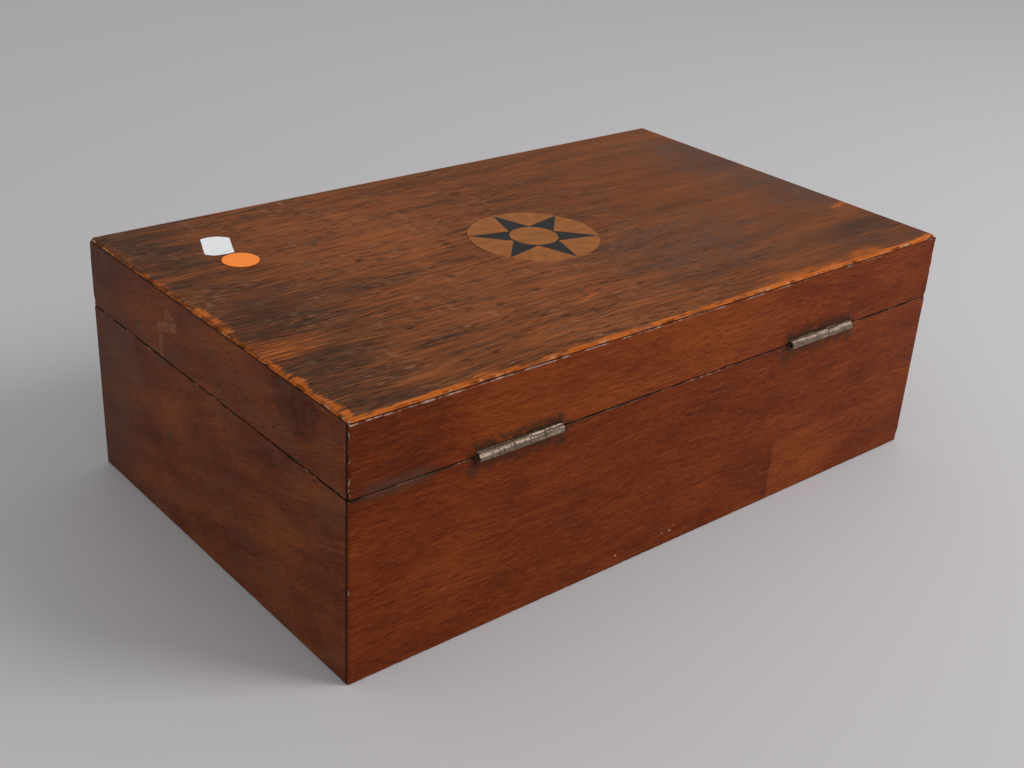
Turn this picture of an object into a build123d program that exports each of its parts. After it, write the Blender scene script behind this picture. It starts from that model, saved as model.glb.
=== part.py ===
"""A hinged wooden box with a star inlaid in its lid, as the pieces it comes apart into on a bench.

The carcass is thin board, rebated at the corners and veneered all over.  The lid turns on two
butt hinges rolled from sheet metal, and a small box lock in the front wall holds it shut.

Frame: millimetres, +Z up, the front facing -Y and the hinges at +Y.  The origin is the middle of
the underside.  The lid is modelled shut and the lock undone.
"""
import os
from math import cos, radians, sin

from build123d import *

# --- box -------------------------------------------------------------------------------------
LENGTH = 300.0             # outside, left to right
DEPTH = 180.0              # outside, front to back
CASE_HEIGHT = 71.4
LID_HEIGHT = 28.2
PARTING_GAP = 0.4          # between the two rims when the lid is shut
BOARD = 8.0                # carcass boards of the four walls
TOP_BOARD = 6.0
BOTTOM_BOARD = 5.0
SIDE_VENEER = 1.0
TOP_VENEER = 1.2
CORNER_LAP = 4.0           # of a long board, left outside the end of a short one
BOTTOM_LEDGE = 4.0         # of wall that lies over the edge of the bottom board
TOP_ROUNDING = 2.0         # worn top edge of the lid
CORNER_ROUNDING = 1.2      # upright corners
BASE_ROUNDING = 0.8
ARRIS = 0.3                # outer edges along the parting

# --- brads that hold the bottom --------------------------------------------------------------
BRAD_WIDTH = 1.2           # cut from flat plate, so square in section
BRAD_LENGTH = 13.0
BRAD_HEAD_WIDTH = 2.4
BRAD_HEAD = 0.6
LONG_WALL_BRADS = 5
SHORT_WALL_BRADS = 3

# --- inlay -----------------------------------------------------------------------------------
INLAY_RADIUS = 27.0
STAR_POINTS = 6
STAR_NECK_RADIUS = 10.8    # where two neighbouring points meet
STAR_CENTRE_RADIUS = 10.0
INLAY_FIT = 0.05           # between the inlay and the hole in the veneer

# --- screws ----------------------------------------------------------------------------------
SCREW_RADIUS = 1.0
SCREW_HEAD_RADIUS = 2.0
SCREW_LENGTH = 8.0
SCREW_POINT = 1.6          # length of the pointed end
SCREW_TIP_RADIUS = 0.2
SCREW_SLOT_WIDTH = 0.5
SCREW_SLOT_DEPTH = 0.5
SCREW_FIT = 0.05

# --- hinges ----------------------------------------------------------------------------------
HINGE_LENGTH = 37.0
LEFT_HINGE_INSET = 54.0    # from the end of the box to the hinge
RIGHT_HINGE_INSET = 50.5
HINGE_SETBACK = 0.6        # of the pin's axis, behind the back of the box
SHEET = 0.8                # rolled sheet
PIN_RADIUS = 1.15
PIN_PLAY = 0.05
PIN_RECESS = 1.5           # of each end of the pin inside the barrel
KNUCKLES = 5
END_KNUCKLE = 8.2
KNUCKLE_GAP = 0.2
ROLL_SEAM = 0.2            # between the rolled end and its own leaf
SWAGE_RADIUS = 0.5         # where the leaf runs into the barrel
LEAF_MARGIN = 1.0          # of wood between a leaf and the inside of the box
LEAF_FIT = 0.05
BARREL_ROOM = 0.45         # round the barrel, in the wood
HINGE_SCREWS = 3
HINGE_SCREW_END = 6.5      # from the end of a leaf to its outer screws

# --- lock ------------------------------------------------------------------------------------
LOCK_PLATE = 1.2
LOCK_COVER = 2.4           # of board in front of the lock
LOCK_FIT = 0.1
LOCK_EAR = 7.0             # of plate beyond the cap, for the screws
LOCK_FOOT = 2.6            # of plate below the cap
SELVEDGE_MARGIN = 1.0      # of board in front of the top plate
CAP_WALL = 0.8
HOOK_DROP = 9.1            # of the hooks below the rim of the case
HOOK_STEM = 3.0
HOOK_TOE = 4.0             # length, which is also the travel of the bolt
HOOK_TOE_HEIGHT = 2.7
HOOK_PITCH = 19.0
HOOK_ROOM = 0.6            # round a hook, in its slot
BOLT_THICKNESS = 1.8
BOLT_ARM = 3.0
BOLT_BAR = 4.4
BOLT_PLAY = 0.3
STUD_RADIUS = 1.0
STUD_PLAY = 0.1
TALON_WIDTH = 4.0
TALON_DEPTH = 2.0
KEY_DROP = 3.2             # of the key's axis below the bolt
KEY_PIN_RADIUS = 1.1
KEY_SWEEP = 6.4            # room for the key's bit to turn in
KEYHOLE_RADIUS = 2.4
KEYHOLE_SLOT = 2.2
KEYHOLE_DROP = 5.4         # from the middle of the round to the end of the slot
ESCUTCHEON_WALL = 1.0
BACKPLATE_SCREW_MARGIN = 2.0   # of board beyond the point of a screw

# --- worked out ------------------------------------------------------------------------------
HALF_LENGTH = LENGTH / 2
HALF_DEPTH = DEPTH / 2
CARCASS_X = HALF_LENGTH - SIDE_VENEER
CARCASS_Y = HALF_DEPTH - SIDE_VENEER
INSIDE_X = CARCASS_X - BOARD
INSIDE_Y = CARCASS_Y - BOARD
HEIGHT = CASE_HEIGHT + PARTING_GAP + LID_HEIGHT
LID_RIM = CASE_HEIGHT + PARTING_GAP
VENEER_TOP = HEIGHT - TOP_VENEER
RAIL_TOP = VENEER_TOP - TOP_BOARD

BORE_RADIUS = PIN_RADIUS + PIN_PLAY
BARREL_RADIUS = BORE_RADIUS + SHEET
AXIS_Y = HALF_DEPTH + HINGE_SETBACK
AXIS_Z = CASE_HEIGHT + PARTING_GAP / 2
LEAF_REACH = AXIS_Y - INSIDE_Y - LEAF_MARGIN
LEFT_HINGE_X = HINGE_LENGTH / 2 + LEFT_HINGE_INSET - HALF_LENGTH
RIGHT_HINGE_X = HALF_LENGTH - RIGHT_HINGE_INSET - HINGE_LENGTH / 2
HINGE_AT = {"left": LEFT_HINGE_X, "right": RIGHT_HINGE_X}

PARTS = "parts"


def block(x, y, z):
    """A box from three (low, high) pairs."""
    spans = [sorted(pair) for pair in (x, y, z)]
    size = [high - low for low, high in spans]
    middle = [(high + low) / 2 for low, high in spans]
    return Pos(*middle) * Box(*size)


def save(name, shape):
    """Writes one node, as one solid or a group of separate solids."""
    solids = shape.solids()
    export_step(solids[0] if len(solids) == 1 else Compound(solids), os.path.join(PARTS, name + ".step"))


def evenly(low, high, count):
    """Places from low to high, both included."""
    return [low + (high - low) * i / (count - 1) for i in range(count)] if count > 1 else [(low + high) / 2]


# --- screws and brads ------------------------------------------------------------------------
def screw(length, fit=0.0):
    """A countersunk wood screw with its head's face at the origin, pointing down.

    With a fit it is the plain hole for that screw instead.
    """
    shank, head = SCREW_RADIUS + fit, SCREW_HEAD_RADIUS + fit
    end = -length - fit
    shoulder = end if fit else end + SCREW_POINT
    tip = shank if fit else SCREW_TIP_RADIUS
    corners = [(0, 0), (head, 0), (shank, shank - head), (shank, shoulder), (tip, end), (0, end)]
    if fit:
        corners.remove((tip, end))
    body = revolve(Plane.XZ * make_face(Polyline(*corners, close=True)), Axis.Z)
    if fit:
        return body
    return body - block((-head, head), (-SCREW_SLOT_WIDTH / 2, SCREW_SLOT_WIDTH / 2), (-SCREW_SLOT_DEPTH, 0))


def brad_row(places):
    """Cut brads driven up through the bottom board, heads flush with its underside."""
    half, head = BRAD_WIDTH / 2, BRAD_HEAD_WIDTH / 2
    one = block((-half, half), (-half, half), (0, BRAD_LENGTH))
    one += block((-head, head), (-half, half), (0, BRAD_HEAD))
    return Compound([(Pos(x, y, 0) * one).solid() for x, y in places])


def brad_places():
    along_y = INSIDE_Y + BOTTOM_LEDGE / 2
    across_x = INSIDE_X + BOTTOM_LEDGE / 2
    places = []
    for x in evenly(-INSIDE_X, INSIDE_X, LONG_WALL_BRADS + 2)[1:-1]:
        places += [(x, -along_y), (x, along_y)]
    for y in evenly(-INSIDE_Y, INSIDE_Y, SHORT_WALL_BRADS + 2)[1:-1]:
        places += [(-across_x, y), (across_x, y)]
    return places


# --- boards and veneers ----------------------------------------------------------------------
def long_board(side, low, high):
    """Front (side -1) or back (side 1) board, rebated at both ends for the short boards."""
    board = block((-CARCASS_X, CARCASS_X), (side * INSIDE_Y, side * CARCASS_Y), (low, high))
    for end in (-1, 1):
        board -= block(
            (end * INSIDE_X, end * CARCASS_X),
            (side * INSIDE_Y, side * (CARCASS_Y - CORNER_LAP)),
            (low, high),
        )
    return board


def short_board(side, low, high):
    """Left (side -1) or right (side 1) board, whose ends fill the rebates of the long ones."""
    reach = CARCASS_Y - CORNER_LAP
    return block((side * INSIDE_X, side * CARCASS_X), (-reach, reach), (low, high))


def bottom_board():
    reach_x, reach_y = INSIDE_X + BOTTOM_LEDGE, INSIDE_Y + BOTTOM_LEDGE
    return block((-reach_x, reach_x), (-reach_y, reach_y), (0, BOTTOM_BOARD))


def long_veneer(side, low, high):
    """Front or back veneer, which covers the ends of the short ones."""
    return block((-HALF_LENGTH, HALF_LENGTH), (side * CARCASS_Y, side * HALF_DEPTH), (low, high))


def short_veneer(side, low, high):
    return block((side * CARCASS_X, side * HALF_LENGTH), (-CARCASS_Y, CARCASS_Y), (low, high))


def case_outline():
    """The case's outer form: upright corners and base rounded, arris eased along the rim."""
    form = block((-HALF_LENGTH, HALF_LENGTH), (-HALF_DEPTH, HALF_DEPTH), (0, CASE_HEIGHT))
    form = fillet(form.edges().filter_by(Axis.Z), CORNER_ROUNDING)
    form = fillet(form.edges().group_by(Axis.Z)[0], BASE_ROUNDING)
    return chamfer(form.edges().group_by(Axis.Z)[-1], ARRIS)


def lid_outline():
    """The lid's outer form: top edge rounded over, arris eased along the rim."""
    form = block((-HALF_LENGTH, HALF_LENGTH), (-HALF_DEPTH, HALF_DEPTH), (LID_RIM, HEIGHT))
    form = fillet(form.edges().filter_by(Axis.Z), CORNER_ROUNDING)
    form = fillet(form.edges().group_by(Axis.Z)[-1], TOP_ROUNDING)
    return chamfer(form.edges().group_by(Axis.Z)[0], ARRIS)


# --- inlay -----------------------------------------------------------------------------------
def polar(radius, degrees):
    return radius * cos(radians(degrees)), radius * sin(radians(degrees))


def inlay_piece(*edges):
    """A piece as thick as the top veneer, from the edges of its outline."""
    return Pos(0, 0, VENEER_TOP) * extrude(make_face(list(edges)), TOP_VENEER)


def star_point(middle):
    """One dark point of the star, aimed at the angle middle, round the edge of the centre disc."""
    half = 180 / STAR_POINTS
    tip = polar(INLAY_RADIUS - INLAY_FIT, middle)
    necks = [polar(STAR_NECK_RADIUS, middle + turn) for turn in (-half, half)]
    inner = [polar(STAR_CENTRE_RADIUS, middle + turn) for turn in (-half, half)]
    return inlay_piece(
        Line(tip, necks[1]),
        Line(necks[1], inner[1]),
        ThreePointArc(inner[1], polar(STAR_CENTRE_RADIUS, middle), inner[0]),
        Line(inner[0], necks[0]),
        Line(necks[0], tip),
    )


def star_field(middle):
    """One pale piece between two points of the star, out to the rim of the inlay."""
    half, rim = 180 / STAR_POINTS, INLAY_RADIUS - INLAY_FIT
    neck = polar(STAR_NECK_RADIUS, middle)
    tips = [polar(rim, middle + turn) for turn in (-half, half)]
    return inlay_piece(
        Line(neck, tips[0]),
        ThreePointArc(tips[0], polar(rim, middle), tips[1]),
        Line(tips[1], neck),
    )


def star_centre():
    return Pos(0, 0, VENEER_TOP) * extrude(Circle(STAR_CENTRE_RADIUS), TOP_VENEER)


# --- hinges ----------------------------------------------------------------------------------
# A hinge is made with its pin along X through the origin and the lid's leaf above.
def knuckle_spans():
    """(low, high) of each knuckle along the pin."""
    inner = (HINGE_LENGTH - 2 * END_KNUCKLE - (KNUCKLES - 1) * KNUCKLE_GAP) / (KNUCKLES - 2)
    spans, start = [], -HINGE_LENGTH / 2
    for i in range(KNUCKLES):
        width = END_KNUCKLE if i in (0, KNUCKLES - 1) else inner
        spans.append((start, start + width))
        start += width + KNUCKLE_GAP
    return spans


def knuckle_profile():
    """Leaf and roll in one: the sheet runs over the pin, under it and back to its own leaf."""
    low, high = PARTING_GAP / 2, PARTING_GAP / 2 + SHEET
    root = -(BARREL_RADIUS + BARREL_ROOM)
    ring = Circle(BARREL_RADIUS) - Circle(BORE_RADIUS)
    ring -= Pos(-BARREL_RADIUS, low - ROLL_SEAM / 2) * Rectangle(2 * BARREL_RADIUS, ROLL_SEAM)
    tongue = Polyline((root, low), (-BORE_RADIUS, low), (-BORE_RADIUS, high), (root, high), close=True)
    profile = ring + make_face(tongue)
    corner = (-((BARREL_RADIUS**2 - high**2) ** 0.5), high)
    return fillet(profile.vertices().sort_by_distance(corner)[0], SWAGE_RADIUS)


def hinge_screw_places():
    """Middle of each screw head on a leaf, along the pin and away from it."""
    away = -(BARREL_RADIUS + BARREL_ROOM + LEAF_REACH) / 2
    reach = HINGE_LENGTH / 2 - HINGE_SCREW_END
    return [(x, away) for x in evenly(-reach, reach, HINGE_SCREWS)]


def leaf_plate(fit=0.0):
    """Flat of the lid's leaf; with a fit, the recess for it, which opens at the rim and the back."""
    inner = HINGE_SETBACK - SIDE_VENEER if fit else BARREL_RADIUS + BARREL_ROOM
    half = HINGE_LENGTH / 2 + fit
    rim = PARTING_GAP / 2
    return block((-half, half), (-LEAF_REACH - fit, -inner), (rim, rim + SHEET + fit))


def hinge_screws(fit=0.0):
    """Screws of the lid's leaf, driven upwards, or their holes."""
    up = Rot(180, 0, 0) * screw(SCREW_LENGTH, fit)
    places = hinge_screw_places()
    return Compound([(Pos(x, y, PARTING_GAP / 2) * up).solid() for x, y in places])


def leaf(own):
    """The lid's leaf, with the knuckles whose numbers are in own."""
    part = leaf_plate()
    profile = Plane.YZ * knuckle_profile()
    for i, (low, high) in enumerate(knuckle_spans()):
        if i in own:
            part += Pos(low, 0, 0) * extrude(profile, high - low)
    return part - hinge_screws(SCREW_FIT)


def hinge_pin():
    return Rot(0, 90, 0) * Cylinder(PIN_RADIUS, HINGE_LENGTH - 2 * PIN_RECESS)


def hinge_recess():
    """What the lid's back wall loses to one hinge: leaf, screws and room for the barrel."""
    half = HINGE_LENGTH / 2 + BARREL_ROOM
    room = Rot(0, 90, 0) * Cylinder(BARREL_RADIUS + BARREL_ROOM, 2 * half)
    return [leaf_plate(LEAF_FIT), hinge_screws(SCREW_FIT), room]


def upside_down(shape):
    return mirror(shape, about=Plane.XY)


# --- lock ------------------------------------------------------------------------------------
# The lock is worked out downwards from the rim and forwards from the inside of the front wall.
PLATE_UNDER = CASE_HEIGHT - LOCK_PLATE
TOE_LOW = CASE_HEIGHT - HOOK_DROP
TOE_HIGH = TOE_LOW + HOOK_TOE_HEIGHT
BAR_HIGH = TOE_LOW - BOLT_PLAY
BAR_LOW = BAR_HIGH - BOLT_BAR
KEY_Z = BAR_LOW - KEY_DROP
CAP_LOW = KEY_Z - KEY_SWEEP
PLATE_LOW = CAP_LOW - LOCK_FOOT
WORKS_HALF = (HOOK_PITCH + HOOK_STEM + 2 * HOOK_TOE + BOLT_PLAY + BOLT_ARM) / 2
HOOK_X = [-WORKS_HALF + BOLT_ARM + 2 * HOOK_TOE + BOLT_PLAY + i * HOOK_PITCH for i in (0, 1)]
CAP_HALF = WORKS_HALF + BOLT_PLAY + CAP_WALL
LOCK_HALF = CAP_HALF + LOCK_EAR
PLATE_FRONT = -(INSIDE_Y + LOCK_PLATE)
CAP_FRONT = -(CARCASS_Y - LOCK_COVER)
SELVEDGE_FRONT = -(CARCASS_Y - SELVEDGE_MARGIN)
SELVEDGE_MIDDLE = (SELVEDGE_FRONT + PLATE_FRONT) / 2
BOLT_BACK = PLATE_FRONT - BOLT_PLAY
BOLT_FRONT = BOLT_BACK - BOLT_THICKNESS
BOLT_MIDDLE = (BOLT_BACK + BOLT_FRONT) / 2
STUD_X = HOOK_X[1] - HOOK_TOE
EAR_X = CAP_HALF + LOCK_EAR / 2


def keyhole(grow, front, back):
    """A keyhole-shaped bar along Y, its outline grown all round."""
    half = KEYHOLE_SLOT / 2 + grow
    outline = Circle(KEYHOLE_RADIUS + grow)
    outline += Pos(0, -KEYHOLE_DROP / 2) * Rectangle(2 * half, KEYHOLE_DROP)
    outline += Pos(0, -KEYHOLE_DROP) * Circle(half)
    return Pos(0, back, KEY_Z) * (Plane.XZ * extrude(outline, back - front))


def across_wall(radius, x, z, front, back):
    """A round bar through the front wall."""
    return Pos(x, (front + back) / 2, z) * Rot(90, 0, 0) * Cylinder(radius, back - front)


def lock_screws(fit=0.0):
    """Two down through the top plate and two forwards through the backplate."""
    short = BOARD - BACKPLATE_SCREW_MARGIN
    forward_z = CAP_LOW + SCREW_HEAD_RADIUS
    placed = []
    for x in (-EAR_X, EAR_X):
        placed.append(Pos(x, SELVEDGE_MIDDLE, CASE_HEIGHT) * screw(SCREW_LENGTH, fit))
        placed.append(Pos(x, -INSIDE_Y, forward_z) * Rot(-90, 0, 0) * screw(short, fit))
    return Compound([one.solid() for one in placed])


def link_screws(fit=0.0):
    up = Rot(180, 0, 0) * screw(SCREW_LENGTH, fit)
    return Compound([(Pos(x, SELVEDGE_MIDDLE, LID_RIM) * up).solid() for x in (-EAR_X, EAR_X)])


def lock_plate():
    """Backplate and top plate in one, with the key's pin and the stud that guides the bolt."""
    wide = (-LOCK_HALF, LOCK_HALF)
    plate = block(wide, (PLATE_FRONT, -INSIDE_Y), (PLATE_LOW, CASE_HEIGHT))
    plate += block(wide, (SELVEDGE_FRONT, -INSIDE_Y), (PLATE_UNDER, CASE_HEIGHT))
    for x in HOOK_X:
        plate -= block(
            (x - HOOK_TOE - HOOK_ROOM, x + HOOK_STEM + HOOK_ROOM),
            (BOLT_FRONT - HOOK_ROOM, PLATE_FRONT),
            (PLATE_UNDER, CASE_HEIGHT),
        )
    plate += across_wall(STUD_RADIUS, STUD_X, (BAR_LOW + BAR_HIGH) / 2, BOLT_FRONT, PLATE_FRONT)
    plate += across_wall(KEY_PIN_RADIUS, 0, KEY_Z, CAP_FRONT, PLATE_FRONT)
    return plate - lock_screws(SCREW_FIT)


def lock_cap():
    """Open-backed cover round the works, with the keyhole in its front."""
    outer = block((-CAP_HALF, CAP_HALF), (CAP_FRONT, PLATE_FRONT), (CAP_LOW, PLATE_UNDER))
    inner = CAP_HALF - CAP_WALL
    hollow = block((-inner, inner), (CAP_FRONT + CAP_WALL, PLATE_FRONT), (CAP_LOW + CAP_WALL, PLATE_UNDER))
    return outer - hollow - keyhole(0, CAP_FRONT, CAP_FRONT + CAP_WALL)


def lock_bolt():
    """A bar with two arms, each with a prong that slides over the toe of a hook."""
    deep = (BOLT_FRONT, BOLT_BACK)
    prong_low, prong_high = TOE_HIGH + BOLT_PLAY, PLATE_UNDER - BOLT_PLAY
    bolt = block((-WORKS_HALF, WORKS_HALF - HOOK_TOE), deep, (BAR_LOW, BAR_HIGH))
    for x in HOOK_X:
        tip = x - HOOK_TOE - BOLT_PLAY
        arm = tip - HOOK_TOE
        bolt += block((arm - BOLT_ARM, arm), deep, (BAR_HIGH, prong_high))
        bolt += block((arm, tip), deep, (prong_low, prong_high))
    talon = TALON_WIDTH / 2
    bolt -= block((-talon, talon), deep, (BAR_LOW, BAR_LOW + TALON_DEPTH))
    return bolt - stud_slot()


def stud_slot():
    """Slot in the bolt for the stud, as long as the bolt's travel."""
    radius, z = STUD_RADIUS + STUD_PLAY, (BAR_LOW + BAR_HIGH) / 2
    start = STUD_X - HOOK_TOE
    slot = block((start, STUD_X), (BOLT_FRONT, BOLT_BACK), (z - radius, z + radius))
    for x in (start, STUD_X):
        slot += across_wall(radius, x, z, BOLT_FRONT, BOLT_BACK)
    return slot


def lock_recess():
    """What the front board loses to the lock."""
    wide = (-LOCK_HALF - LOCK_FIT, LOCK_HALF + LOCK_FIT)
    cap = (-CAP_HALF - LOCK_FIT, CAP_HALF + LOCK_FIT)
    return [
        block(wide, (PLATE_FRONT - LOCK_FIT, -INSIDE_Y), (PLATE_LOW - LOCK_FIT, CASE_HEIGHT)),
        block(wide, (SELVEDGE_FRONT - LOCK_FIT, -INSIDE_Y), (PLATE_UNDER - LOCK_FIT, CASE_HEIGHT)),
        block(cap, (CAP_FRONT - LOCK_FIT, -INSIDE_Y), (CAP_LOW - LOCK_FIT, CASE_HEIGHT)),
        lock_screws(SCREW_FIT),
    ]


def escutcheon():
    return escutcheon_hole() - keyhole(0, -HALF_DEPTH, CAP_FRONT)


def escutcheon_hole():
    return keyhole(ESCUTCHEON_WALL, -HALF_DEPTH, CAP_FRONT - LOCK_FIT)


def link_plate():
    """Plate in the lid's rim, with the two hooks that drop into the lock."""
    wide, deep = (-LOCK_HALF, LOCK_HALF), (SELVEDGE_FRONT, -INSIDE_Y)
    plate = block(wide, deep, (LID_RIM, LID_RIM + LOCK_PLATE))
    for x in HOOK_X:
        plate += block((x, x + HOOK_STEM), (BOLT_FRONT, BOLT_BACK), (TOE_LOW, LID_RIM))
        plate += block((x - HOOK_TOE, x), (BOLT_FRONT, BOLT_BACK), (TOE_LOW, TOE_HIGH))
    return plate - link_screws(SCREW_FIT)


def link_recess():
    wide = (-LOCK_HALF - LOCK_FIT, LOCK_HALF + LOCK_FIT)
    deep = (SELVEDGE_FRONT - LOCK_FIT, -INSIDE_Y)
    return [block(wide, deep, (LID_RIM, LID_RIM + LOCK_PLATE + LOCK_FIT)), link_screws(SCREW_FIT)]


# --- assembly --------------------------------------------------------------------------------
def cut(part, tools):
    for tool in tools:
        part -= tool
    return part


def build_case():
    walls = (0, CASE_HEIGHT)
    brads = brad_row(brad_places())
    below = [bottom_board(), brads]
    hinges = [Pos(x, AXIS_Y, AXIS_Z) * upside_down(t) for x in HINGE_AT.values() for t in hinge_recess()]
    outline = case_outline()
    save("case_front_board", cut(long_board(-1, *walls), below + lock_recess() + [escutcheon_hole()]))
    save("case_back_board", cut(long_board(1, *walls), below + hinges))
    save("case_left_board", cut(short_board(-1, *walls), below))
    save("case_right_board", cut(short_board(1, *walls), below))
    save("case_bottom_board", bottom_board() - brads)
    save("bottom_brads", brads)
    save("case_front_veneer", (long_veneer(-1, *walls) & outline) - escutcheon_hole())
    save("case_back_veneer", cut(long_veneer(1, *walls) & outline, hinges))
    save("case_left_veneer", short_veneer(-1, *walls) & outline)
    save("case_right_veneer", short_veneer(1, *walls) & outline)


def build_lid():
    rails, skirt = (LID_RIM, RAIL_TOP), (LID_RIM, VENEER_TOP)
    hinges = [Pos(x, AXIS_Y, AXIS_Z) * t for x in HINGE_AT.values() for t in hinge_recess()]
    outline = lid_outline()
    save("lid_front_board", cut(long_board(-1, *rails), link_recess()))
    save("lid_back_board", cut(long_board(1, *rails), hinges))
    save("lid_left_board", short_board(-1, *rails))
    save("lid_right_board", short_board(1, *rails))
    top = block((-CARCASS_X, CARCASS_X), (-CARCASS_Y, CARCASS_Y), (RAIL_TOP, VENEER_TOP))
    save("lid_top_board", top & outline)
    save("lid_front_veneer", long_veneer(-1, *skirt) & outline)
    save("lid_back_veneer", cut(long_veneer(1, *skirt) & outline, hinges))
    save("lid_left_veneer", short_veneer(-1, *skirt) & outline)
    save("lid_right_veneer", short_veneer(1, *skirt) & outline)
    sheet = block((-HALF_LENGTH, HALF_LENGTH), (-HALF_DEPTH, HALF_DEPTH), (VENEER_TOP, HEIGHT))
    hole = Pos(0, 0, VENEER_TOP) * extrude(Circle(INLAY_RADIUS), TOP_VENEER)
    save("lid_top_veneer", (sheet & outline) - hole)


def build_inlay():
    step = 360 / STAR_POINTS
    for i in range(STAR_POINTS):
        save(f"star_point_{i + 1}", star_point(step * (i + 0.5)))
        save(f"star_field_{i + 1}", star_field(step * i))
    save("star_centre", star_centre())


def build_hinges():
    lid_own = range(0, KNUCKLES, 2)
    case_own = range(1, KNUCKLES, 2)
    for side, x in HINGE_AT.items():
        place = Pos(x, AXIS_Y, AXIS_Z)
        save(f"{side}_hinge_lid_leaf", place * leaf(lid_own))
        save(f"{side}_hinge_case_leaf", place * upside_down(leaf(case_own)))
        save(f"{side}_hinge_pin", place * hinge_pin())
        save(f"{side}_hinge_lid_screws", place * hinge_screws())
        save(f"{side}_hinge_case_screws", place * upside_down(hinge_screws()))


def build_lock():
    save("lock_plate", lock_plate())
    save("lock_cap", lock_cap())
    save("lock_bolt", lock_bolt())
    save("lock_screws", lock_screws())
    save("keyhole_escutcheon", escutcheon())
    save("link_plate", link_plate())
    save("link_plate_screws", link_screws())


def main():
    os.makedirs(PARTS, exist_ok=True)
    build_case()
    build_lid()
    build_inlay()
    build_hinges()
    build_lock()


main()
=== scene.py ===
"""Dresses an old inlaid wooden box: worn polish on mahogany, a star inlay, dull hinges and a lock.

The frame gives every rigid piece at its real size and place, in metres.  This file adds what the
years have done to it: bare edges, chipped veneer, grime round the hinges and two stickers.  It also
paints shade round the hinges and along the parting line, and a grey sheen on the lid top.
"""

from math import atan2, cos, radians, sin, sqrt
from random import Random

import bpy
from mathutils import Matrix, Vector


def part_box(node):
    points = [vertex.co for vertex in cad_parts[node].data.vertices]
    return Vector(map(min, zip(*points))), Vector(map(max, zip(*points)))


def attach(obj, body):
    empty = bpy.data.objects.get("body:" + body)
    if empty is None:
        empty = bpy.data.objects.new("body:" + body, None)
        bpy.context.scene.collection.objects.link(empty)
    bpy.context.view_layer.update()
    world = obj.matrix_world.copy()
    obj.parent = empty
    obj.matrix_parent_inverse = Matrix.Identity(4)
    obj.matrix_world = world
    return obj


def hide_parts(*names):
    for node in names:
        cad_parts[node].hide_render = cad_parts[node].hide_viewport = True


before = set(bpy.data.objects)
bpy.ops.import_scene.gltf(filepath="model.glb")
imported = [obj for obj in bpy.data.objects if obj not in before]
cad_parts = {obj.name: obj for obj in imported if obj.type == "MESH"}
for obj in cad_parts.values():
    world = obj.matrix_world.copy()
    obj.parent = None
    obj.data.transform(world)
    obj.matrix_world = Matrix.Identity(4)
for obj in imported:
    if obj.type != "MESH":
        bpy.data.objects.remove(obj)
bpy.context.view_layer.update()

bl_info = {
    "name": "Inlaid Wooden Box",
    "version": (1, 0, 0),
    "blender": (4, 5, 0),
    "location": "View3D > Sidebar > Inlaid Box",
    "description": "Finishes, wear and stickers of an old veneered box with a star inlay",
    "category": "Object",
}

MM = 0.001


def mm_box(node):
    """Lowest and highest corner of a CAD node, in millimetres."""
    low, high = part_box(node)
    return low / MM, high / MM


# --- sizes read from the frame, in millimetres -------------------------------------------------
TOP_LOW, TOP_HIGH = mm_box("lid_top_veneer")
CASE_HIGH = mm_box("case_back_veneer")[1]
LEAF_LOW, LEAF_HIGH = mm_box("right_hinge_lid_leaf")
HALF_LENGTH, HALF_DEPTH, CASE_RIM = CASE_HIGH
TOP_SEAM, HEIGHT = TOP_LOW.z, TOP_HIGH.z
SEAM_Y = mm_box("case_right_veneer")[1].y
LID_RIM = mm_box("lid_back_veneer")[0].z
PARTING = (LID_RIM + CASE_RIM) / 2
HINGES_AT = [sum(v.x for v in mm_box(f"{side}_hinge_pin")) / 2 for side in ("left", "right")]
HALF_BARREL = (LEAF_HIGH.x - LEAF_LOW.x) / 2

# --- sizes that the CAD has and the frame doesn't give, in millimetres ---------------------------
TOP_ROUND = 2.0
SIDE_ROUND = 1.2
BASE_ROUND = 0.8
HINGE_AXIS = Vector((0, 90.6, 71.6))
BARREL_RADIUS = 2.0
END_KNUCKLE = 8.2

# --- what several finishes share ------------------------------------------------------------------
LONG_SIDES = ("front", "back")
SHORT_SIDES = ("left", "right")
# How deep under the unworn surface a chip's colour starts, and where it is full.
TORN_DEPTH = (0.07, 0.18)
# Colours of open cracks, also painted as shade along the gap between lid and case, and of the joints between
# veneers.
CRACK_AND_GAP_SHADE = (0.010, 0.005, 0.003)
GLUE_LINE = (0.010, 0.004, 0.003)
# How little the lid top, the inlay and the sides shine.
DULLEST, DULL, SATIN = [{"Specular IOR Level": level} for level in (0.03, 0.06, 0.07)]


# --- sizes and colours that a user would change -------------------------------------------------
def colour(name, description, default):
    return bpy.props.FloatVectorProperty(
        name=name, description=description, subtype="COLOR", size=3, min=0, max=1, default=default
    )


def length(name, description, default):
    """A length in millimetres, kept in metres."""
    return bpy.props.FloatProperty(
        name=name, description=description, unit="LENGTH", subtype="DISTANCE", default=default * MM
    )


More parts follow.
